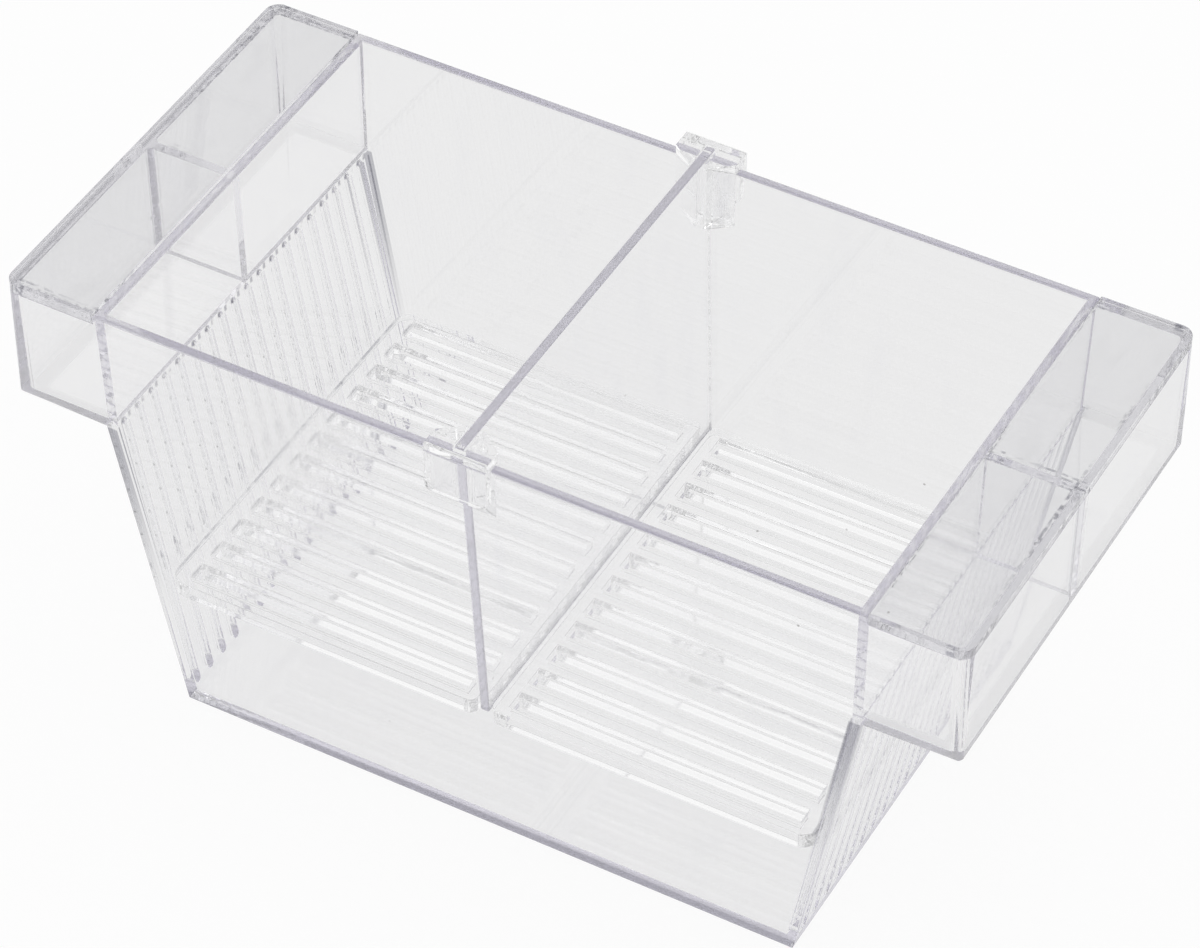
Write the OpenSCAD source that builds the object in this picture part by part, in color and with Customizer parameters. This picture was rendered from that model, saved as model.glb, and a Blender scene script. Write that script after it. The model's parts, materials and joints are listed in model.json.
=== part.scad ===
// Floating breeding box for fish: a clear tub between two sealed float chambers,
// two slotted trays side by side, and a divider held at the rim by two clips.
// The origin is the centre of the tub's underside. X runs along the box,
// Y from the front to the back, and Z up.

/* [Overall] */
// Length over both float chambers, at the rim
box_length = 200; // [180:1:260]
// Width from front to back, at the rim
box_width = 95.5; // [80:0.5:140]
// Height from the underside of the floor to the rim
box_height = 97.5; // [85:0.5:130]

/* [Tub] */
// Thickness of the long walls and end walls
wall = 2; // [1.4:0.1:3]
// Thickness of the floor
floor_thickness = 2.4; // [1.6:0.1:4]
// Length of the floor's underside, which sets the slant of the lower end walls
floor_length = 134.2; // [120:0.2:150]
// How far each long wall leans in between the rim and the floor
long_wall_lean = 2.5; // [0:0.1:5]
// How far each upper end wall leans in over the depth of the float chamber
end_wall_lean = 0.6; // [0:0.1:1.5]

/* [Float chambers] */
// How far each float chamber stands out past the end wall, at the rim
float_reach = 19.7; // [14:0.1:26]
// Depth of the float chambers below the rim
float_depth = 28.2; // [18:0.2:40]
// Thickness of the float chambers' outer walls and cross walls
float_wall = 2; // [1.4:0.1:3]
// Thickness of the float chambers' floors
float_floor = 1.2; // [1:0.1:3]
// How far the outer wall leans in over the depth of the float chamber
float_lean = 0.4; // [0:0.1:1.5]
// Radius of the outer upright corners
corner_radius = 3; // [0.5:0.1:4]
// Thickness of the glued covers
cover_thickness = 2; // [1.2:0.1:3]
// Gap between a cover and the end wall beside it
cover_gap = 0.15; // [0.05:0.05:0.4]

/* [End-wall slots] */
// Number of slots in each slanting end wall
slot_count = 19; // [5:1:22]
// Solid wall between the outermost slots and the long walls, at the slots' lower ends
slot_side_border = 0.3; // [0.2:0.1:12]
// Width of a slot
slot_width = 1.5; // [0.8:0.1:2]
// Height of the slots' lower ends above the floor's underside
slot_foot = 3.8; // [3:0.1:12]
// Solid wall left between the slots and the float chamber
slot_head = 0.2; // [0.1:0.1:8]

/* [Trays] */
// Height of the trays' top face above the floor's underside
tray_height = 31.6; // [15:0.2:50]
// Thickness of the trays
tray_thickness = 3.6; // [2:0.1:5]
// Number of slots in each tray
tray_slots = 12; // [4:1:12]
// Solid border beside the outermost tray slots
tray_side_border = 2.95; // [1.8:0.05:10]
// Width of a tray slot
tray_slot_width = 3; // [1.5:0.1:4]
// How much the upper edges of the tray slots are sloped off
tray_slot_edge = 0.8; // [0.2:0.1:1.4]
// Solid border at the outer end of the tray slots
tray_outer_border = 3.8; // [2:0.1:12]
// Solid border at the end of the tray slots that faces the divider
tray_inner_border = 3; // [2:0.1:12]
// Radius of the tray corners beside the end wall
tray_corner = 3.5; // [1:0.1:6]
// Radius of the tray corners beside the divider
tray_inner_corner = 1.8; // [0.5:0.1:4]
// Gap between the two trays, which takes the divider's foot
tray_gap = 3.4; // [2.6:0.1:6]
// Gap between a tray and the walls that it seats against
tray_clearance = 0.2; // [0.1:0.05:0.6]

/* [Divider] */
// Thickness of the divider
divider_thickness = 1.9; // [1.2:0.1:2.2]
// Place of the divider's top along the box, left of the middle when negative
divider_top_x = -1.8; // [-4:0.1:4]
// How far the divider's foot reaches below the trays' top face
divider_foot = 1.2; // [0.4:0.1:2]
// Gap between the divider's foot and the tray beside it
foot_clearance = 0.1; // [0.05:0.05:0.3]
// Gap between the divider and the long walls
divider_clearance = 0.35; // [0.2:0.05:0.8]
// Height of the divider's ears, which rest on the rim
ear_height = 2.3; // [1.2:0.1:3]
// Gap between an ear and the rim under it
ear_clearance = 0.1; // [0.1:0.05:0.2]

/* [Clips] */
// Width of a clip along the wall
clip_width = 13.2; // [9:0.1:20]
// Thickness of a clip's outer flap
flap_thickness = 1.8; // [1.2:0.1:3]
// How far the outer flap reaches down from the rim
flap_drop = 9; // [5:0.1:20]
// Radius of the outer flap's lower corners
flap_corner = 1.8; // [0.5:0.1:3]
// How far the inner jaw reaches down from the rim
jaw_drop = 13; // [6:0.1:24]
// How far the inner jaw stands in from the wall, where it meets the divider
jaw_reach = 3.6; // [2:0.1:6]
// Flat width of the jaw's tip on each side of the divider
jaw_tip = 0.5; // [0.3:0.1:1.2]
// Gap between a clip and the wall it straddles
clip_clearance = 0.2; // [0.1:0.05:0.4]
// Gap between a clip's groove and the divider
groove_clearance = 0.15; // [0.1:0.05:0.4]

/* [Hidden] */
$fn = 48;
past = 1;                 // how far a cut runs past the face that it opens

rim_z = box_height;
shelf_z = rim_z - float_depth;
rim_x = box_length / 2 - float_reach;
shelf_x = rim_x - end_wall_lean;
float_foot_x = box_length / 2 - float_lean;
cover_z = rim_z - cover_thickness;

// Half width of the tub between its outer faces, and between its inner faces, at height z
function outer_y(z) = box_width / 2 - long_wall_lean * (1 - z / rim_z);
function inner_y(z) = outer_y(z) - wall;
// Half length of the tub at height z: slanting below the float chambers, nearly upright above
function outer_x(z) = z < shelf_z
    ? floor_length / 2 + (shelf_x - floor_length / 2) * z / shelf_z
    : shelf_x + end_wall_lean * (z - shelf_z) / float_depth;
function inner_x(z) = outer_x(z) - wall;
// Inner face of a float chamber's outer wall at height z
function float_inner_x(z) = float_foot_x + float_lean * (z - shelf_z) / float_depth - float_wall;

// The end-wall slots spread evenly between the long walls
slot_pitch = 2 * (inner_y(slot_foot) - slot_side_border - slot_width / 2) / (slot_count - 1);

// The trays seat where the leaning walls close in on them
seat_z = tray_height - tray_thickness;
tray_half_width = inner_y(seat_z) - tray_clearance;
tray_length = inner_x(seat_z) - tray_clearance - tray_gap / 2;
tray_pitch = 2 * (tray_half_width - tray_side_border - tray_slot_width / 2) / (tray_slots - 1);

// The divider stands from the gap between the trays up past the rim, and leans between them
foot_z = tray_height - divider_foot;
top_z = rim_z + ear_clearance + ear_height;
foot_x = tray_gap / 2 - foot_clearance - divider_thickness / 2;
lean = atan2(divider_top_x - foot_x, top_z - foot_z);
ear_y = outer_y(rim_z) - ear_clearance;
function divider_x(z) = foot_x + (z - foot_z) * tan(lean);
function along_divider(z) = (z - foot_z) / cos(lean);

// A clip's groove is upright, so it is wide enough for the lean over its height
jaw_foot_z = rim_z - jaw_drop;
clip_x = divider_x((jaw_foot_z + top_z) / 2);
groove_width = divider_thickness / cos(lean) + abs(tan(lean)) * (top_z - jaw_foot_z)
    + 2 * groove_clearance;
groove_end_y = ear_y + groove_clearance;
flap_inner_y = outer_y(rim_z) + clip_clearance;
flap_outer_y = flap_inner_y + flap_thickness;
flap_foot_z = rim_z - flap_drop;
jaw_back_y = inner_y(jaw_foot_z) - clip_clearance;
jaw_tip_y = jaw_back_y - jaw_reach;

// A profile drawn in X and Z, given its depth along Y
module across(depth) {
    rotate([90, 0, 0]) linear_extrude(depth, center = true) children();
}

// A profile drawn in Y and Z, given its length along X
module lengthways(length) {
    rotate([90, 0, 90]) linear_extrude(length, center = true) children();
}

// The right half of a centred rectangle, with round corners at its end
module round_half(length, width, radius) {
    translate([0, -width / 2]) square([length / 2 - radius, width]);
    translate([0, radius - width / 2]) square([length / 2, width - 2 * radius]);
    for (y = [-1, 1]) translate([length / 2 - radius, y * (width / 2 - radius)]) circle(radius);
}

// A centred rectangle with one radius for its left corners and one for its right corners
module round_rectangle(length, width, left_radius, right_radius) {
    round_half(length, width, right_radius);
    mirror([1, 0]) round_half(length, width, left_radius);
}

// Outline of the whole moulding seen from the front
module front_outline() {
    polygon([
        [-outer_x(0), 0], [outer_x(0), 0], [shelf_x, shelf_z], [float_foot_x, shelf_z],
        [box_length / 2, rim_z], [-box_length / 2, rim_z], [-float_foot_x, shelf_z],
        [-shelf_x, shelf_z]
    ]);
}

// Outline of the whole moulding seen from the end
module end_outline() {
    polygon([
        [-outer_y(0), 0], [outer_y(0), 0], [outer_y(rim_z), rim_z], [-outer_y(rim_z), rim_z]
    ]);
}

// The moulding before anything is hollowed out
module solid_body() {
    intersection() {
        across(2 * box_width) front_outline();
        lengthways(2 * box_length) end_outline();
        linear_extrude(rim_z)
            round_rectangle(box_length, box_width, corner_radius, corner_radius);
    }
}

// The open space inside the tub
module tub_hollow() {
    top = rim_z + past;
    intersection() {
        across(2 * box_width) polygon([
            [-inner_x(floor_thickness), floor_thickness], [inner_x(floor_thickness), floor_thickness],
            [inner_x(shelf_z), shelf_z], [inner_x(top), top],
            [-inner_x(top), top], [-inner_x(shelf_z), shelf_z]
        ]);
        lengthways(2 * box_length) polygon([
            [-inner_y(0), 0], [inner_y(0), 0], [inner_y(top), top], [-inner_y(top), top]
        ]);
    }
}

// The two cells of the right float chamber, one on each side of its cross wall
module float_cells() {
    foot = shelf_z + float_floor;
    top = rim_z + past;
    intersection() {
        across(2 * box_width) polygon([
            [outer_x(foot), foot], [float_inner_x(foot), foot],
            [float_inner_x(top), top], [outer_x(top), top]
        ]);
        lengthways(2 * box_length) for (side = [-1, 1]) polygon([
            [side * float_wall / 2, foot], [side * inner_y(foot), foot],
            [side * inner_y(top), top], [side * float_wall / 2, top]
        ]);
    }
}

// The step that a cover lies in
module cover_seat() {
    translate([rim_x, -box_width, cover_z]) cube([box_length, 2 * box_width, 2 * cover_thickness]);
}

// Slots through both slanting end walls
module end_wall_slots() {
    low = slot_foot + slot_width / 2;
    high = shelf_z - slot_head - slot_width / 2;
    for (i = [0 : slot_count - 1])
        translate([0, (i - (slot_count - 1) / 2) * slot_pitch, 0])
            lengthways(2 * shelf_x + 2 * past) {
                translate([-slot_width / 2, low]) square([slot_width, high - low]);
                for (z = [low, high]) translate([0, z]) circle(d = slot_width);
            }
}

// The tub and both float chambers are one moulding
module tub() {
    color("lavender", 0.35) difference() {
        solid_body();
        tub_hollow();
        end_wall_slots();
        for (side = [0, 1]) mirror([side, 0, 0]) {
            float_cells();
            cover_seat();
        }
    }
}

// A flat cover closes both cells of the right float chamber, level with the rim
module float_cover() {
    intersection() {
        solid_body();
        translate([rim_x + cover_gap, -box_width, cover_z])
            cube([box_length, 2 * box_width, cover_thickness]);
    }
}

module float_cover_right() {
    color("lavender", 0.45) float_cover();
}

module float_cover_left() {
    color("lavender", 0.45) mirror([1, 0, 0]) float_cover();
}

// The right tray: a flat plate with long slots, seated between the leaning walls
module tray() {
    slot_length = tray_length - tray_outer_border - tray_inner_border;
    slot_centre = tray_gap / 2 + tray_inner_border + slot_length / 2;
    difference() {
        translate([tray_gap / 2 + tray_length / 2, 0, seat_z]) linear_extrude(tray_thickness)
            round_rectangle(tray_length, 2 * tray_half_width, tray_inner_corner, tray_corner);
        for (i = [0 : tray_slots - 1])
            translate([slot_centre, (i - (tray_slots - 1) / 2) * tray_pitch, tray_height])
                lengthways(slot_length) tray_slot_profile();
    }
}

// A tray slot seen from its end: straight sides under sloped upper edges
module tray_slot_profile() {
    narrow = tray_slot_width / 2;
    wide = narrow + tray_slot_edge;
    polygon([
        [-narrow, -tray_thickness - past], [narrow, -tray_thickness - past],
        [narrow, -tray_slot_edge], [wide, 0], [wide, past], [-wide, past], [-wide, 0],
        [-narrow, -tray_slot_edge]
    ]);
}

module tray_right() {
    color("aliceblue", 0.5) tray();
}

module tray_left() {
    color("aliceblue", 0.5) mirror([1, 0, 0]) tray();
}

// A plate that widens with the long walls and rests on the rim by an ear at each top corner
module divider() {
    foot_y = inner_y(foot_z) - divider_clearance;
    rim_y = inner_y(rim_z) - divider_clearance;
    ear_foot = along_divider(rim_z + ear_clearance);
    top = along_divider(top_z);
    color("lavender", 0.45)
        translate([foot_x, 0, foot_z]) rotate([0, lean, 0])
            lengthways(divider_thickness) polygon([
                [-foot_y, 0], [foot_y, 0], [rim_y, ear_foot], [ear_y, ear_foot],
                [ear_y, top], [-ear_y, top], [-ear_y, ear_foot], [-rim_y, ear_foot]
            ]);
}

// The clip's outline from above: a bridge as wide as the flap, narrowing to the jaw's tip
module clip_plan() {
    tip_x = groove_width / 2 + jaw_tip;
    polygon([
        [-clip_width / 2, flap_outer_y], [-clip_width / 2, jaw_back_y], [-tip_x, jaw_tip_y],
        [tip_x, jaw_tip_y], [clip_width / 2, jaw_back_y], [clip_width / 2, flap_outer_y]
    ]);
}

// The clip's outline from its side: jaw, bridge over the rim, and flap
module clip_profile() {
    polygon([
        [jaw_tip_y - past, jaw_foot_z], [jaw_back_y, jaw_foot_z], [jaw_back_y, rim_z],
        [flap_inner_y, rim_z], [flap_inner_y, flap_foot_z], [flap_outer_y + past, flap_foot_z],
        [flap_outer_y + past, top_z], [jaw_tip_y - past, top_z]
    ]);
}

// What is cut away outside the round lower corners of the flap
module flap_corner_cuts() {
    x = clip_width / 2 - flap_corner;
    z = flap_foot_z + flap_corner;
    translate([0, flap_inner_y + flap_thickness / 2, 0]) across(flap_thickness + clip_clearance)
        for (side = [-1, 1]) difference() {
            translate([side > 0 ? x : -x - flap_corner - past, z - flap_corner - past])
                square([flap_corner + past, flap_corner + past]);
            translate([side * x, z]) circle(flap_corner);
        }
}

// The back clip, split by a groove for the divider's edge and its ear
module clip() {
    translate([clip_x, 0, 0]) difference() {
        intersection() {
            linear_extrude(top_z + past) clip_plan();
            lengthways(2 * clip_width) clip_profile();
        }
        translate([-groove_width / 2, jaw_tip_y - past, jaw_foot_z - past])
            cube([groove_width, groove_end_y - jaw_tip_y + past, top_z - jaw_foot_z + 2 * past]);
        flap_corner_cuts();
    }
}

module clip_back() {
    color("white", 0.5) clip();
}

module clip_front() {
    color("white", 0.5) mirror([0, 1, 0]) clip();
}

tub();
float_cover_left();
float_cover_right();
tray_left();
tray_right();
divider();
clip_front();
clip_back();
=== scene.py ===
"""A clear floating breeding box for fish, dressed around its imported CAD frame."""

import json
import math

import bmesh
import bpy
from mathutils import Matrix, Vector

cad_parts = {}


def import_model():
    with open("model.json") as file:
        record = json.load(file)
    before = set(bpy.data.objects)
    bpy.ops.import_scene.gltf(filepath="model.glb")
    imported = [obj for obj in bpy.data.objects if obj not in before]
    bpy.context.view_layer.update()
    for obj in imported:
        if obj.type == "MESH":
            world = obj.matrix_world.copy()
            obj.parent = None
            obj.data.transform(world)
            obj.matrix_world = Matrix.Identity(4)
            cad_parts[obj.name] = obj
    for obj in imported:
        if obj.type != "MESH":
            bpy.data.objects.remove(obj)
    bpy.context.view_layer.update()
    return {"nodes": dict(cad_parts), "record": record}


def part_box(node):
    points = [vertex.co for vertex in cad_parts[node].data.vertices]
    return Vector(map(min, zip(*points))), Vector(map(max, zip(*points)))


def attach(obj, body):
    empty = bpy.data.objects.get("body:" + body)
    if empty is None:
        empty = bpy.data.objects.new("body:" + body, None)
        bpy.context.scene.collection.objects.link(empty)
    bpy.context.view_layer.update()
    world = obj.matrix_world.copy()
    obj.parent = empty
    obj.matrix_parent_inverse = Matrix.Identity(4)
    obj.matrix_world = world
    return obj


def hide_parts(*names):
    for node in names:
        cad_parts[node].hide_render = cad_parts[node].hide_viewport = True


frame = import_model()

MM = 0.001

# The camera, fitted to the box's corners in the photograph
IMAGE_WIDTH = 1200
FOCAL_PIXELS = 5080
SENSOR_WIDTH = 36
CAMERA_AZIMUTH = math.radians(29.23)
CAMERA_ELEVATION = math.radians(43.76)
CAMERA_ROLL = math.radians(-0.11)
CAMERA_DISTANCE = 1007.13 * MM
CAMERA_RIGHT = 0.40 * MM
CAMERA_UP = 39.27 * MM
FARTHEST_SEEN = 50

# The tub, from its middle outwards and from the ground up. A slant is a wall's lean by its height
WALL = 2 * MM
FOOT_X = 67.1 * MM
FOOT_Y = 45.25 * MM
SHELF = 69.3 * MM
SHELF_END = 79.7 * MM
END_SLANT = (SHELF_END - FOOT_X) / SHELF
LONG_SLANT = 2.5 / 97.5
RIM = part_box("tub")[1].z

# The slots in its end walls, of which the outermost start past INNER_SLOTS
SLOT_PITCH = 4.6997 * MM
SLOT_HEAD = 68.3 * MM
INNER_SLOTS = 41 * MM

# The cells of its float chambers: how far they reach to the side, between which two places
# their outer corners lie, under what level their floors lie, and half the wall between them
CELL_SIDE = 46 * MM
CELL_OUTER = (90 * MM, 98.5 * MM)
CELL_FLOOR = SHELF + 2 * MM
HALF_CROSS_WALL = 1 * MM

# The covers over them
COVER_SEAT = 95.5 * MM
COVER_INNER = 80.3 * MM
COVER_OUTER = 98 * MM
COVER_SIDE = 45.75 * MM

# The trays and the divider
TRAY_TOP = 31.6 * MM
TRAY_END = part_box("tray_right")[1].x
TRAY_BORDER = 3.8 * MM
TRAY_PITCH = 7.149 * MM
DIVIDER_BACK = 42.5 * MM

# Where an edge is sharp, where two faces are one, and how near counts as touching
SHARP_ANGLE = math.radians(25)
FLAT_ANGLE = math.radians(0.4)
NEAR = 0.1 * MM

# The radius of each finish's moulded edges, the steps they are rounded in, and how close the
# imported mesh's points are joined. SLIVER is how close points are joined after a rounding
EDGES = {
    "clear_body": {"radius": 0.18 * MM, "steps": 2, "joined": 0.06 * MM},
    "clear_cover": {"radius": 0.3 * MM, "steps": 2, "joined": 0.14 * MM},
    "clear_tray": {"radius": 0.5 * MM, "steps": 5, "joined": 0.06 * MM},
    "clear_divider": {"radius": 0.3 * MM, "steps": 2, "joined": 0.06 * MM},
    "clear_clip": {"radius": 0.3 * MM, "steps": 2, "joined": 0.06 * MM},
}
SLIVER = 0.05 * MM

# Some edges of the tub are rounder, and are rounded in more steps
FLOAT_RADIUS = 1.2 * MM
CELL_RADIUS = 1.2 * MM
RIM_RADIUS = 0.7 * MM
SLOT_RADIUS = 0.35 * MM
ROUND_STEPS = 4

# The room that the slots' rounded heads need under the shelf
HEAD_DROP = 0.35 * MM

# The film of air left under a cover or clip, where it sits on the tub, and under the tub itself
AIR_FILM = 0.05 * MM

# Clear polystyrene, and the light that its shadow lets through
INDEX = 1.55
TINT = (0.43, 0.41, 0.50)
SHADOW_TINT = (0.93, 0.93, 0.94, 1)

# The faint haze that turns a long way through the plastic to lavender, painted as a glow in the
# plastic's volume in place of light scattered inside it
DEEP_COLOUR = (0.43, 0.415, 0.485)
PAINTED_HAZE_GLOW = tuple(deep * (1 - clear) for deep, clear in zip(DEEP_COLOUR, TINT))

# Each finish's colour, the shade and spacing of its streaks and their stretch in X, Y and Z,
# how deep its surface waves, the spacing of its smudges and how much they dull it, the spacing
# of its dust, how fast its depth tints it, the roughness of its polish, and its own marks
LOOKS = {
    "clear_body": {
        "colour": (1, 1, 1, 1), "streak": (0.985, 0.985, 0.99, 1), "flow": 30 * MM,
        "stretch": (1, 1, 0.3), "wave": 0.02 * MM, "smudge": 24 * MM, "dulled": 0.03,
        "speck": 17 * MM, "depth": 14.0, "polish": 0.02, "marks": "tub_marks"},
    "clear_cover": {
        # The covers' grey colour and streaks are painted shade, in place of the reflections that
        # grey their tops
        "colour": (0.86, 0.86, 0.87, 1), "streak": (0.82, 0.82, 0.83, 1), "flow": 24 * MM,
        "stretch": (1, 0.4, 1), "wave": 0.03 * MM, "smudge": 15 * MM, "dulled": 0.05,
        "speck": 14 * MM, "depth": 3.0, "polish": 0.02, "marks": "bond_line"},
    "clear_tray": {
        "colour": (1, 1, 1, 1), "streak": (0.99, 0.99, 0.992, 1), "flow": 16 * MM,
        "stretch": (0.4, 1, 1), "wave": 0.03 * MM, "smudge": 12 * MM, "dulled": 0.03,
        "speck": 13 * MM, "depth": 0.5, "polish": 0.02, "marks": "tray_marks"},
    "clear_divider": {
        "colour": (1, 1, 1, 1), "streak": (0.97, 0.97, 0.98, 1), "flow": 22 * MM,
        "stretch": (1, 1, 0.4), "wave": 0.05 * MM, "smudge": 18 * MM, "dulled": 0.03,
        "speck": 16 * MM, "depth": 16.0, "polish": 0.02, "marks": "foot_mark"},
    "clear_clip": {
        "colour": (1, 1, 1, 1), "streak": (0.97, 0.97, 0.975, 1), "flow": 5 * MM,
        "stretch": (1, 1, 0.5), "wave": 0.05 * MM, "smudge": 5 * MM, "dulled": 0.06,
        "speck": 7 * MM, "depth": 1.0, "polish": 0.03},
}

# The noise of streaks and smudges: how many grains to their spacing, and its detail
BROAD_FLOW = (1.0, 1.0)
FINE_FLOW = (4.0, 3.0)
SMUDGE_PATCHES = (1.0, 4.0)

# The stretches of that noise in which they fade in, and how much the fine streaks wave
STREAKED = (0.5, 0.75)
SMUDGED = (0.52, 0.72)
FINE_WAVE = 0.2

# Dust: its size and colour, and the chance value above which a cell of its pattern holds a speck
SPECK_SIZE = 0.35 * MM
SPECK_COLOUR = (0.25, 0.24, 0.23, 1)
SPECK_FROM = 0.6

# Old adhesive and painted shade, laid on in one dark colour, and the roughness that a matt place
# adds
ADHESIVE_AND_PAINTED_SHADE = (0.3, 0.3, 0.34, 1)
MATT = 0.4

# Grain in a mark: its noise's scale and detail, and the stretch of it in which the mark fades in
MOTTLE_GRAIN = (700.0, 3.0, 0.42, 0.62)
MOTTLE_PATCHES = (55.0, 2.0, 0.44, 0.64)
COVER_DROP_GRAIN = (900.0, 1.0, 0.4, 0.5)
HEAD_GRAIN = (300.0, 2.0, 0.3, 0.5)
SHELF_DROP_GRAIN = (700.0, 3.0, 0.4, 0.6)
TRAY_GRAIN = (250.0, 2.0, 0.4, 0.6)

# Marks that are lines or drops, of adhesive or of painted shade: where one lies, and its half width
SEAM = 0.38 * MM
COVER_DROP_X = (96.4 * MM, 1.2 * MM)
COVER_DROP_Y = (47.4 * MM, 0.7 * MM)
SHELF_DROP = 1.3 * MM
HEAD_LINE_X = (SHELF_END - WALL, 1 * MM)
HEAD_LINE_Z = (SHELF + 0.3 * MM, 0.9 * MM)
CREASE = 0.35 * MM
SLOT_END_LINE = (TRAY_END - TRAY_BORDER, 0.5 * MM)

# Marks that fade in or out from one place to another, of painted shade, of the divider's dark line
# and of matt
SLOTS_STOP = (44 * MM, 44.5 * MM)
CREASE_GROWS = (20 * MM, 66 * MM)
CREASE_STOPS = (68.8 * MM, 69.2 * MM)
FLOOR_EDGE = (1.9 * MM, 2.3 * MM)
FLOOR_SIDES = (44 * MM, 45 * MM)
UNDERSIDE = (SHELF + 0.2 * MM, SHELF + 0.6 * MM)
UNDERSIDE_STARTS = (SHELF_END, SHELF_END + 1 * MM)
UNDERSIDE_END = (94 * MM, 95.5 * MM)
UNDERSIDE_SIDES = (42 * MM, 43.5 * MM)
RIM_FACE = (RIM - 0.8 * MM, RIM - 0.5 * MM)
DIVIDER_FOOT = (TRAY_TOP - 0.2 * MM, TRAY_TOP + 0.2 * MM)
TRAY_FACE = (TRAY_TOP - 1.2 * MM, TRAY_TOP - 0.8 * MM)
TRAY_LIP = (TRAY_END - 0.9 * MM, TRAY_END - 0.5 * MM)

# As shares of the slots' pitch: a line of painted shade beside a slot of the tub and its half
# width, and from where to where the painted shade in a tray's slot fades out
SLOT_EDGE = (0.25, 0.12)
TRAY_SLOT = (0.2, 0.26)

# How strong the marks are, from the least to the most where they vary: painted shade on the floor's
# edge and the trays, the divider's dark line, and the rims' matt
FLOOR_EDGE_SHADE = 0.75
DIVIDER_FOOT_SHADE = 0.5
SLOT_END_SHADE = (0.3, 0.6)
TRAY_LIP_SHADE = (0.4, 0.9)
RIM_MATT = 0.5

# The white table: how far it reaches, its colour under the lamp, how much of its own shade it
# keeps, and the brightness that clear plastic shows of it
GROUND_REACH = 6
GROUND_COLOUR = (0.92, 0.92, 0.92, 1)
KEPT_SHADE = 0.08
SEEN_THROUGH = 0.85

# The room's brightness by the upward part of a direction: a dim wall, then a bright overhead
ROOM = ((0.0, 0.81), (0.06, 0.45), (0.34, 0.45), (0.6, 0.95), (0.7, 1.0), (0.86, 1.0), (1.0, 0.9))
ROOM_TOP = 1.4

# It is dimmer on the camera's side, by the part of a direction that points away from the camera
ROOM_IN_FRONT = 0.7
ROOM_TURNS = (-0.6, 0.3)

# The soft lamp overhead
LAMP_PLACE = Vector((0.2, -0.1, 1.6))
LAMP_AIM = Vector((0, 0, 0.05))
LAMP_SIZE = 1.2
LAMP_POWER = 4

# Enough bounces for light to cross every wall
BOUNCES = 256
CLEAR_BOUNCES = 32


def camera():
    """The camera at the photograph's viewing angle."""
    back = Vector((math.sin(CAMERA_AZIMUTH) * math.cos(CAMERA_ELEVATION),
                   -math.cos(CAMERA_AZIMUTH) * math.cos(CAMERA_ELEVATION),
                   math.sin(CAMERA_ELEVATION)))
    right = Vector((0, 0, 1)).cross(back).normalized()
    up = back.cross(right)
    across = math.cos(CAMERA_ROLL) * right + math.sin(CAMERA_ROLL) * up
    above = math.cos(CAMERA_ROLL) * up - math.sin(CAMERA_ROLL) * right
    data = bpy.data.cameras.new("camera")
    data.sensor_width = SENSOR_WIDTH
    data.lens = FOCAL_PIXELS / IMAGE_WIDTH * SENSOR_WIDTH
    data.clip_end = FARTHEST_SEEN
    eye = bpy.data.objects.new("camera", data)
    bpy.context.scene.collection.objects.link(eye)
    place = across * CAMERA_RIGHT + above * CAMERA_UP + back * CAMERA_DISTANCE
    turned = Matrix((across, above, back)).transposed().to_4x4()
    eye.matrix_world = Matrix.Translation(place) @ turned
    bpy.context.scene.camera = eye


def new_material(name):
    """An empty node material, its tree and its output."""
    material = bpy.data.materials.new(name)
    material.use_nodes = True
    tree = material.node_tree
    tree.nodes.clear()
    return material, tree, add(tree, "OutputMaterial")


def add(tree, kind, **settings):
    """A new shader node with its settings."""
    node = tree.nodes.new("ShaderNode" + kind)
    for name, value in settings.items():
        setattr(node, name, value)
    return node


def feed(tree, socket, value):
    """Links a socket to another one, or sets it to a number or colour."""
    if isinstance(value, bpy.types.NodeSocket):
        tree.links.new(value, socket)
    else:
        socket.default_value = value


def feed_all(tree, node, *values):
    """Feeds a node's first sockets in their order."""
    for socket, value in zip(node.inputs, values):
        feed(tree, socket, value)


def maths(tree, operation, *terms):
    """The result of one Math node."""
    node = add(tree, "Math", operation=operation)
    feed_all(tree, node, *terms)
    return node.outputs[0]


def ranged(tree, value, low, high, to_low=0.0, to_high=1.0):
    """A value brought smoothly from one range to another."""
    node = add(tree, "MapRange", interpolation_type="SMOOTHSTEP")
    feed_all(tree, node, value, low, high, to_low, to_high)
    return node.outputs[0]


def fading(tree, value, low, high, most=1.0):
    """A mask that fades out as a value grows from low to high."""
    return ranged(tree, value, low, high, most, 0.0)


def near(tree, value, line, width):
    """A soft line of the given half width, where a value passes a number."""
    away = maths(tree, "ABSOLUTE", maths(tree, "SUBTRACT", value, line))
    return fading(tree, away, 0.5 * width, width)


def all_of(tree, *masks):
    """Where every mask is."""
    whole = masks[0]
    for mask in masks[1:]:
        whole = maths(tree, "MULTIPLY", whole, mask)
    return whole


def any_of(tree, *masks):
    """Where any of the masks is."""
    whole = masks[0]
    for mask in masks[1:]:
        whole = maths(tree, "MAXIMUM", whole, mask)
    return whole


def noise(tree, place, scale, detail):
    """Soft noise of the given scale."""
    node = add(tree, "TexNoise")
    feed(tree, node.inputs["Vector"], place)
    feed(tree, node.inputs["Scale"], scale)
    feed(tree, node.inputs["Detail"], detail)
    return node.outputs["Fac"]


def spaced_noise(tree, given, grains, detail):
    """Noise with so many grains to a material's own spacing."""
    return noise(tree, given["Vector"], maths(tree, "DIVIDE", grains, given["Spacing"]), detail)


def grain(tree, place, scale, detail, low, high, to_low=0.0, to_high=1.0):
    """A grainy mask, from noise that is brought from low and high to the mask's strength."""
    return ranged(tree, noise(tree, place, scale, detail), low, high, to_low, to_high)


def mottle(tree, place):
    """Grains in patches."""
    return all_of(tree, grain(tree, place, *MOTTLE_GRAIN), grain(tree, place, *MOTTLE_PATCHES))


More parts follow.
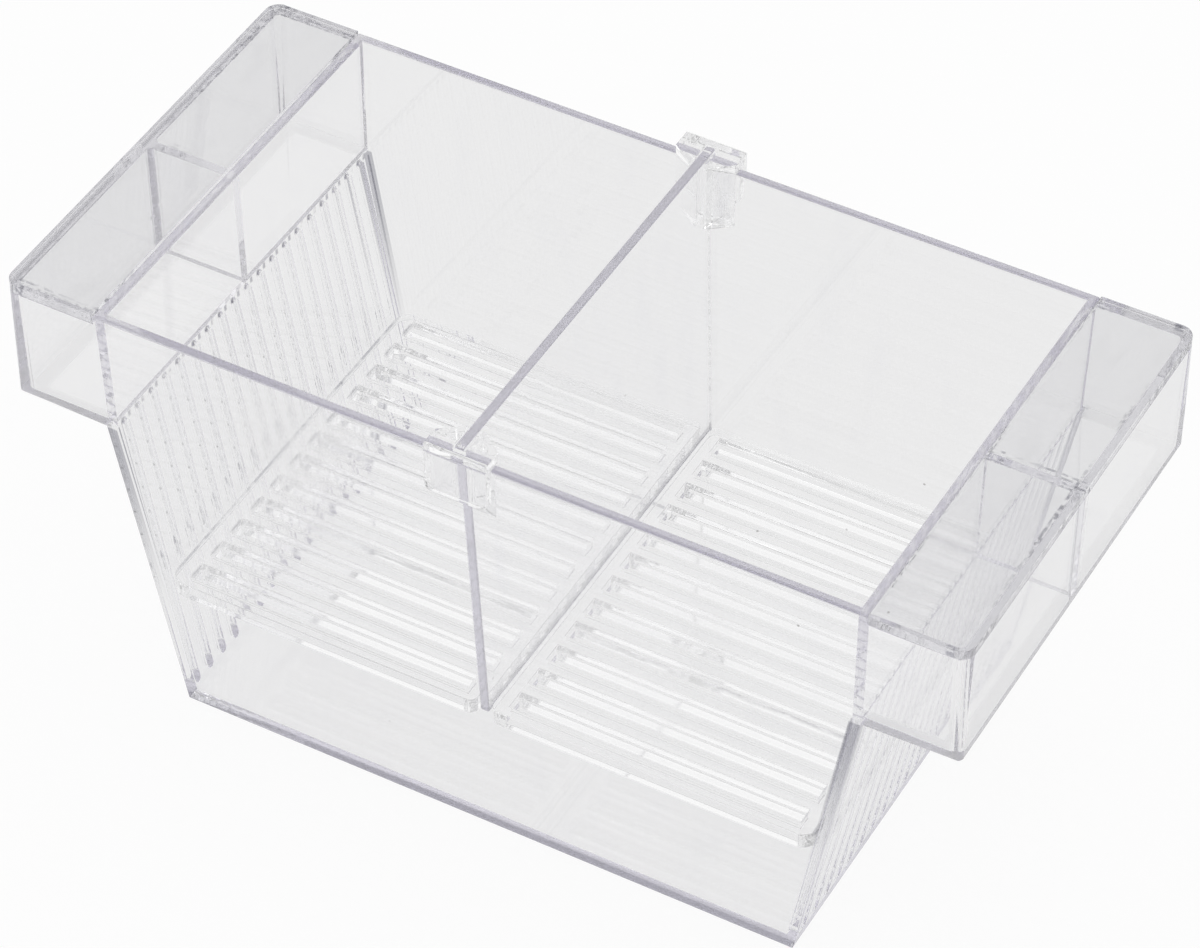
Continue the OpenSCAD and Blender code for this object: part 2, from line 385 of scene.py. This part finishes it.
def mixed(tree, share, under, over):
    """Two shaders mixed by the share of the second."""
    mix = add(tree, "MixShader")
    feed_all(tree, mix, share, under, over)
    return mix.outputs[0]


def shaded(tree, colour, mask, shade):
    """A colour with another one laid over it where the mask is."""
    node = add(tree, "Mix", data_type="RGBA")
    feed(tree, node.inputs[0], mask)
    feed(tree, node.inputs[6], colour)
    feed(tree, node.inputs[7], shade)
    return node.outputs[2]


def new_group(name, inputs, outputs):
    """An empty node group with named inputs and outputs, and the sockets inside it."""
    tree = bpy.data.node_groups.new(name, "ShaderNodeTree")
    for socket in inputs:
        kind = "NodeSocketVector" if socket == "Vector" else "NodeSocketFloat"
        tree.interface.new_socket(name=socket, in_out="INPUT", socket_type=kind)
    for socket in outputs:
        tree.interface.new_socket(name=socket, in_out="OUTPUT", socket_type="NodeSocketFloat")
    given, result = tree.nodes.new("NodeGroupInput"), tree.nodes.new("NodeGroupOutput")
    return tree, given.outputs, result.inputs


def grouped(tree, effect, place, **values):
    """The outputs of an effect, placed in a material with the material's own values."""
    node = add(tree, "Group", node_tree=effect)
    feed(tree, node.inputs["Vector"], place)
    for name, value in values.items():
        feed(tree, node.inputs[name], value)
    return node.outputs


def flow_marks():
    """Streaks that the melt left as it ran across the mould: a height, and a faint shade."""
    tree, given, result = new_group("flow_marks", ("Vector", "Spacing"), ("Height", "Streak"))
    broad = spaced_noise(tree, given, *BROAD_FLOW)
    fine = spaced_noise(tree, given, *FINE_FLOW)
    feed(tree, result["Height"], maths(tree, "MULTIPLY_ADD", fine, FINE_WAVE, broad))
    feed(tree, result["Streak"], ranged(tree, fine, *STREAKED))
    return tree


def smudges():
    """Where handling has dulled the polish a little."""
    tree, given, result = new_group("smudges", ("Vector", "Spacing"), ("Dulled",))
    patches = spaced_noise(tree, given, *SMUDGE_PATCHES)
    feed(tree, result["Dulled"], ranged(tree, patches, *SMUDGED))
    return tree


def specks():
    """A few specks of dust, each in its own cell."""
    tree, given, result = new_group("specks", ("Vector", "Spacing", "Size"), ("Speck",))
    cells = add(tree, "TexVoronoi", feature="F1")
    feed(tree, cells.inputs["Vector"], given["Vector"])
    feed(tree, cells.inputs["Scale"], maths(tree, "DIVIDE", 1.0, given["Spacing"]))
    reach = maths(tree, "DIVIDE", given["Size"], given["Spacing"])
    inside = fading(tree, cells.outputs["Distance"], maths(tree, "MULTIPLY", reach, 0.5), reach)
    chance = add(tree, "SeparateColor")
    feed(tree, chance.inputs[0], cells.outputs["Color"])
    few = maths(tree, "GREATER_THAN", chance.outputs[0], SPECK_FROM)
    feed(tree, result["Speck"], all_of(tree, inside, few))
    return tree


def place_parts(tree, place):
    """How far a place is from the middle along X and Y, and its height."""
    parts = add(tree, "SeparateXYZ")
    feed(tree, parts.inputs[0], place)
    x, y, z = parts.outputs
    return maths(tree, "ABSOLUTE", x), maths(tree, "ABSOLUTE", y), z


def from_slot(tree, y, pitch, shift):
    """How far the nearest slot's middle is along Y, as a share of the slots' pitch."""
    turns = maths(tree, "ADD", maths(tree, "DIVIDE", y, pitch), shift)
    off = maths(tree, "SUBTRACT", maths(tree, "FRACT", turns), 0.5)
    return maths(tree, "ABSOLUTE", off)


def inside_wall(tree, distance, z, slant, foot):
    """How far a place lies past the inner face of a leaning wall."""
    face = maths(tree, "MULTIPLY_ADD", z, slant, foot - WALL)
    return maths(tree, "SUBTRACT", distance, face)


def bond_line():
    """Mottled adhesive along a cover's seat and the cross wall, and a drop at the corners."""
    tree, given, result = new_group("bond_line", ("Vector",), ("Dark", "Matt"))
    place = given["Vector"]
    x, y = place_parts(tree, place)[:2]
    lines = any_of(tree, near(tree, x, COVER_OUTER, SEAM), near(tree, x, COVER_INNER, SEAM),
                   near(tree, y, COVER_SIDE, SEAM), near(tree, y, HALF_CROSS_WALL, SEAM))
    seam = all_of(tree, lines, mottle(tree, place))
    drop = all_of(tree, near(tree, x, *COVER_DROP_X), near(tree, y, *COVER_DROP_Y),
                  grain(tree, place, *COVER_DROP_GRAIN))
    feed(tree, result["Dark"], any_of(tree, seam, drop))
    feed(tree, result["Matt"], seam)
    return tree


def tub_marks():
    """Painted shade at the slots' heads, in the inner corners and along the floor's edge, a drop of
    adhesive at each end of a shelf, and matt rims and undersides."""
    tree, given, result = new_group("tub_marks", ("Vector",), ("Dark", "Matt"))
    place = given["Vector"]
    x, y, z = place_parts(tree, place)
    # Painted shade at the slots' heads, standing in for the dark that refraction gives there
    heads = all_of(tree, near(tree, z, *HEAD_LINE_Z),
                   near(tree, from_slot(tree, y, SLOT_PITCH, 0.5), *SLOT_EDGE),
                   near(tree, x, *HEAD_LINE_X), fading(tree, y, *SLOTS_STOP),
                   grain(tree, place, *HEAD_GRAIN))
    # Painted shade in the inner corners where the end walls meet the long walls
    corner = maths(tree, "MINIMUM", inside_wall(tree, x, z, END_SLANT, FOOT_X),
                   inside_wall(tree, y, z, LONG_SLANT, FOOT_Y))
    creases = all_of(tree, ranged(tree, corner, -CREASE, -0.5 * CREASE),
                     ranged(tree, z, *CREASE_GROWS), fading(tree, z, *CREASE_STOPS))
    drop = all_of(tree, near(tree, x, SHELF_END, SHELF_DROP), near(tree, y, CELL_SIDE, SHELF_DROP),
                  near(tree, z, SHELF, SHELF_DROP), grain(tree, place, *SHELF_DROP_GRAIN))
    # Painted shade along the floor's edge, standing in for the dark that refraction through that
    # edge gives
    floor_edge = all_of(tree, fading(tree, z, *FLOOR_EDGE, FLOOR_EDGE_SHADE),
                        ranged(tree, y, *FLOOR_SIDES))
    feed(tree, result["Dark"], any_of(tree, heads, creases, drop, floor_edge))
    border = any_of(tree, ranged(tree, x, *UNDERSIDE_END), ranged(tree, y, *UNDERSIDE_SIDES))
    underside = all_of(tree, border, ranged(tree, x, *UNDERSIDE_STARTS),
                       fading(tree, z, *UNDERSIDE))
    rim = maths(tree, "MULTIPLY", ranged(tree, z, *RIM_FACE), RIM_MATT)
    feed(tree, result["Matt"], any_of(tree, underside, rim))
    return tree


def foot_mark():
    """The dark line along the divider's foot, between the trays."""
    tree, given, result = new_group("foot_mark", ("Vector",), ("Dark", "Matt"))
    z = place_parts(tree, given["Vector"])[2]
    line = fading(tree, z, *DIVIDER_FOOT, DIVIDER_FOOT_SHADE)
    feed(tree, result["Dark"], line)
    feed(tree, result["Matt"], line)
    return tree


def tray_marks():
    """Painted shade along a tray's outer end, and at the ends of its slots there, nowhere matt."""
    tree, given, result = new_group("tray_marks", ("Vector",), ("Dark", "Matt"))
    place = given["Vector"]
    x, y, z = place_parts(tree, place)
    # Painted shade at the slots' ends and along the lip, standing in for the dark that refraction
    # gives there
    ends = all_of(tree, near(tree, x, *SLOT_END_LINE),
                  fading(tree, from_slot(tree, y, TRAY_PITCH, 0.0), *TRAY_SLOT),
                  grain(tree, place, *TRAY_GRAIN, *SLOT_END_SHADE))
    lip = all_of(tree, ranged(tree, x, *TRAY_LIP),
                 grain(tree, place, *TRAY_GRAIN, *TRAY_LIP_SHADE))
    feed(tree, result["Dark"],
         all_of(tree, any_of(tree, ends, lip), ranged(tree, z, *TRAY_FACE)))
    return tree


def clear_plastic(slot, look, effects):
    """Polished clear plastic, tinted by the length of the light's way through it, where a painted
    lavender glow in its volume stands in for light scattered inside it.
    """
    material, tree, output = new_material(slot + "_polystyrene")
    place = add(tree, "TexCoord").outputs["Object"]
    along = add(tree, "Mapping")
    feed(tree, along.inputs["Vector"], place)
    feed(tree, along.inputs["Scale"], look["stretch"])
    flow = grouped(tree, effects["flow_marks"], along.outputs[0], Spacing=look["flow"])
    dulled = grouped(tree, effects["smudges"], place, Spacing=look["smudge"])["Dulled"]
    speck = grouped(tree, effects["specks"], place, Spacing=look["speck"], Size=SPECK_SIZE)["Speck"]

    colour = shaded(tree, look["colour"], flow["Streak"], look["streak"])
    colour = shaded(tree, colour, speck, SPECK_COLOUR)
    rough = maths(tree, "MULTIPLY_ADD", dulled, look["dulled"], look["polish"])
    if "marks" in look:
        # Where the marks are, adhesive and painted shade are laid over the colour
        marks = grouped(tree, effects[look["marks"]], place)
        colour = shaded(tree, colour, marks["Dark"], ADHESIVE_AND_PAINTED_SHADE)
        rough = maths(tree, "MULTIPLY_ADD", marks["Matt"], MATT, rough)
    bump = add(tree, "Bump")
    feed(tree, bump.inputs["Strength"], 1)
    feed(tree, bump.inputs["Distance"], look["wave"])
    feed(tree, bump.inputs["Height"], flow["Height"])

    body = add(tree, "BsdfPrincipled")
    feed(tree, body.inputs["Base Color"], colour)
    feed(tree, body.inputs["Roughness"], rough)
    feed(tree, body.inputs["Normal"], bump.outputs[0])
    feed(tree, body.inputs["IOR"], INDEX)
    feed(tree, body.inputs["Transmission Weight"], 1)
    passing = add(tree, "BsdfTransparent")
    feed(tree, passing.inputs["Color"], SHADOW_TINT)
    shadow = add(tree, "LightPath").outputs["Is Shadow Ray"]
    surface = mixed(tree, shadow, body.outputs[0], passing.outputs[0])
    feed(tree, output.inputs["Surface"], surface)

    depth = add(tree, "VolumeAbsorption")
    feed(tree, depth.inputs["Color"], (*TINT, 1))
    feed(tree, depth.inputs["Density"], look["depth"])
    # A painted glow that grows with the way through the plastic, in place of light scattered inside
    # it
    haze_glow = add(tree, "Emission")
    feed(tree, haze_glow.inputs["Color"], (*PAINTED_HAZE_GLOW, 1))
    feed(tree, haze_glow.inputs["Strength"], look["depth"])
    inside = add(tree, "AddShader")
    feed_all(tree, inside, depth.outputs[0], haze_glow.outputs[0])
    feed(tree, output.inputs["Volume"], inside.outputs[0])
    return material


def ends(edge):
    """The places of an edge's two ends."""
    return [point.co for point in edge.verts]


def float_undersides(edge):
    """The lower edges of the float chambers, outside."""
    a, b = ends(edge)
    level = max(abs(a.z - SHELF), abs(b.z - SHELF)) < NEAR
    return level and max(abs(a.x), abs(b.x)) > SHELF_END + NEAR


def cell_corners(edge):
    """The upright corners inside the float chambers, at their outer walls."""
    a, b = ends(edge)
    inside = max(abs(a.y), abs(b.y)) < CELL_SIDE and CELL_OUTER[0] < abs(a.x) < CELL_OUTER[1]
    return inside and max(a.z, b.z) > COVER_SEAT - NEAR and min(a.z, b.z) < CELL_FLOOR


def rims(edge):
    """The edges round the top of the moulding."""
    a, b = ends(edge)
    return min(a.z, b.z) > RIM - NEAR


def on_inner_slant(point):
    """Whether a point lies on the inner face of a slanting end wall, under the shelf."""
    inner_x = FOOT_X + END_SLANT * point.z - WALL
    return abs(abs(point.x) - inner_x) < NEAR and SHELF - point.z > NEAR


def slot_mouths(edge):
    """The edges of the end-wall slots on the inner face, apart from the outermost slots."""
    a, b = ends(edge)
    return on_inner_slant(a) and on_inner_slant(b) and max(abs(a.y), abs(b.y)) < INNER_SLOTS


def outer_edges(edge):
    """The edges that stand out, which are all but those inside a bend."""
    return edge.calc_face_angle_signed(0) > 0


def clip_edges(edge):
    """A clip's outer edges, apart from those that sit at the rim."""
    a, b = ends(edge)
    return outer_edges(edge) and max(abs(a.z - RIM), abs(b.z - RIM)) > NEAR


def divider_edges(edge):
    """The divider's outer edges, apart from those against the back wall."""
    a, b = ends(edge)
    return outer_edges(edge) and min(a.y, b.y) < DIVIDER_BACK


def round_edges(shape, radius, steps, chosen, clamped=True):
    """Rounds the sharp edges that chosen accepts."""
    sharp = [e for e in shape.edges
             if len(e.link_faces) == 2 and e.calc_face_angle(0) > SHARP_ANGLE and chosen(e)]
    bmesh.ops.bevel(shape, geom=sharp, offset=radius, affect="EDGES", segments=steps,
                    profile=0.5, material=-1, clamp_overlap=clamped)
    if clamped:
        bmesh.ops.remove_doubles(shape, verts=shape.verts, dist=SLIVER)


def end_cells_at_seat(shape):
    """Ends the cells' walls at the covers' seats, past which they cut in by a hair."""
    for point in shape.verts:
        beside = abs(abs(point.co.x) - COVER_INNER) < NEAR and abs(point.co.y) < CELL_SIDE
        if beside and point.co.z > COVER_SEAT:
            point.co.z = COVER_SEAT


def lower_slot_heads(shape):
    """Leaves room between the slots' inner heads and the shelf for their rounded edges."""
    for point in shape.verts:
        if on_inner_slant(point.co) and point.co.z > SLOT_HEAD:
            point.co.z -= HEAD_DROP
            point.co.x -= math.copysign(HEAD_DROP * END_SLANT, point.co.x)


def lift_off(shape, seat):
    """Lets a film of air in between a piece's lower faces and the level that they sit on."""
    for point in shape.verts:
        if abs(point.co.z - seat) < AIR_FILM / 2:
            point.co.z += AIR_FILM


def round_tub(shape):
    """Rounds the edges of the tub that are rounder than the rest."""
    round_edges(shape, FLOAT_RADIUS, ROUND_STEPS, float_undersides)
    round_edges(shape, CELL_RADIUS, ROUND_STEPS, cell_corners)
    round_edges(shape, RIM_RADIUS, ROUND_STEPS, rims)
    round_edges(shape, SLOT_RADIUS, ROUND_STEPS, slot_mouths, clamped=False)


def finished_copy(node, body, slot, material, seat=None):
    """Replaces a node with its own shape, its triangles joined and its edges broken."""
    edges = EDGES[slot]
    shape = bmesh.new()
    shape.from_mesh(frame["nodes"][node].data)
    if node == "tub":
        end_cells_at_seat(shape)
        lower_slot_heads(shape)
    bmesh.ops.remove_doubles(shape, verts=shape.verts, dist=edges["joined"])
    if seat is not None:
        lift_off(shape, seat)
    bmesh.ops.dissolve_limit(shape, angle_limit=FLAT_ANGLE, verts=shape.verts, edges=shape.edges)
    if node == "tub":
        round_tub(shape)
    chosen = {"clear_clip": clip_edges, "clear_divider": divider_edges}.get(slot, outer_edges)
    round_edges(shape, edges["radius"], edges["steps"], chosen, clamped=node != "tub")
    flaps = [f for f in shape.faces if any(len(e.link_faces) == 1 for e in f.edges)]
    bmesh.ops.delete(shape, geom=flaps, context="FACES")
    mesh = bpy.data.meshes.new(node + "_moulding")
    shape.to_mesh(mesh)
    shape.free()
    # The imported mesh's own normals don't fit the rounded edges
    mesh.attributes.remove(mesh.attributes["custom_normal"])
    mesh.shade_flat()
    mesh.materials.append(material)
    piece = bpy.data.objects.new(node + "_moulding", mesh)
    bpy.context.scene.collection.objects.link(piece)
    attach(piece, body)
    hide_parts(node)


def white_for_sight(tree, matt):
    """White laid over a shader for the eye: full in direct view, a little less through plastic."""
    path = add(tree, "LightPath").outputs
    bright = add(tree, "Mix", data_type="FLOAT")
    feed(tree, bright.inputs["Factor"], path["Is Camera Ray"])
    feed(tree, bright.inputs["A"], SEEN_THROUGH)
    feed(tree, bright.inputs["B"], 1)
    glow = add(tree, "Emission")
    feed(tree, glow.inputs["Strength"], bright.outputs["Result"])
    seen = any_of(tree, path["Is Camera Ray"], path["Is Transmission Ray"], path["Is Glossy Ray"])
    return mixed(tree, maths(tree, "MULTIPLY", seen, 1 - KEPT_SHADE), matt, glow.outputs[0])


def floor():
    """The plain pale table that the box stands on."""
    shape = bmesh.new()
    bmesh.ops.create_grid(shape, x_segments=1, y_segments=1, size=GROUND_REACH)
    mesh = bpy.data.meshes.new("ground")
    shape.to_mesh(mesh)
    shape.free()
    material, tree, output = new_material("ground_white")
    matt = add(tree, "BsdfDiffuse")
    feed(tree, matt.inputs["Color"], GROUND_COLOUR)
    feed(tree, output.inputs["Surface"], white_for_sight(tree, matt.outputs[0]))
    mesh.materials.append(material)
    mesh.transform(Matrix.Translation((0, 0, -AIR_FILM)))
    ground = bpy.data.objects.new("ground", mesh)
    bpy.context.scene.collection.objects.link(ground)


def world():
    """A pale room: a dim wall all round, a bright overhead, and white in direct view."""
    surround = bpy.data.worlds.new("studio")
    surround.use_nodes = True
    tree = surround.node_tree
    tree.nodes.clear()
    output = add(tree, "OutputWorld")
    way = add(tree, "TexCoord").outputs["Generated"]
    parts = add(tree, "SeparateXYZ")
    feed(tree, parts.inputs[0], way)
    height = add(tree, "ValToRGB")
    feed(tree, height.inputs[0], parts.outputs["Z"])
    ramp = height.color_ramp
    ramp.interpolation = "EASE"
    while len(ramp.elements) < len(ROOM):
        ramp.elements.new(1)
    for element, (at, bright) in zip(ramp.elements, ROOM):
        element.position = at
        element.color = (bright / ROOM_TOP, bright / ROOM_TOP, bright / ROOM_TOP, 1)
    away = add(tree, "VectorMath", operation="DOT_PRODUCT")
    feed_all(tree, away, way, (-math.sin(CAMERA_AZIMUTH), math.cos(CAMERA_AZIMUTH), 0))
    shade = ranged(tree, away.outputs["Value"], *ROOM_TURNS, ROOM_IN_FRONT * ROOM_TOP, ROOM_TOP)
    room = add(tree, "Background")
    feed_all(tree, room, height.outputs["Color"], shade)
    white = add(tree, "Background")
    direct = add(tree, "LightPath").outputs["Is Camera Ray"]
    feed(tree, output.inputs["Surface"], mixed(tree, direct, room.outputs[0], white.outputs[0]))
    bpy.context.scene.world = surround


def softbox():
    """A large soft lamp overhead, turned to the box."""
    data = bpy.data.lights.new("overhead", "AREA")
    data.shape = "RECTANGLE"
    data.size = data.size_y = LAMP_SIZE
    data.energy = LAMP_POWER
    lamp = bpy.data.objects.new("overhead", data)
    bpy.context.scene.collection.objects.link(lamp)
    turned = (LAMP_AIM - LAMP_PLACE).to_track_quat("-Z", "Y").to_matrix().to_4x4()
    lamp.matrix_world = Matrix.Translation(LAMP_PLACE) @ turned


def render_settings():
    """Colours as written, and light that crosses every wall."""
    scene = bpy.context.scene
    scene.view_settings.view_transform = "Standard"
    scene.cycles.max_bounces = BOUNCES
    scene.cycles.transmission_bounces = BOUNCES
    scene.cycles.glossy_bounces = BOUNCES
    scene.cycles.transparent_max_bounces = CLEAR_BOUNCES


render_settings()
camera()
effects = {make.__name__: make()
           for make in (flow_marks, smudges, specks, bond_line, tub_marks, tray_marks, foot_mark)}
plastics = {slot: clear_plastic(slot, look, effects) for slot, look in LOOKS.items()}
slots = {entry["node"]: entry["material_slot"] for entry in frame["record"]["subparts"]}
seats = {"float_cover_left": COVER_SEAT, "float_cover_right": COVER_SEAT,
         "clip_front": RIM, "clip_back": RIM}
for body, members in frame["record"]["behaviour"]["bodies"].items():
    for node in members:
        finished_copy(node, body, slots[node], plastics[slots[node]], seats.get(node))
floor()
world()
softbox()
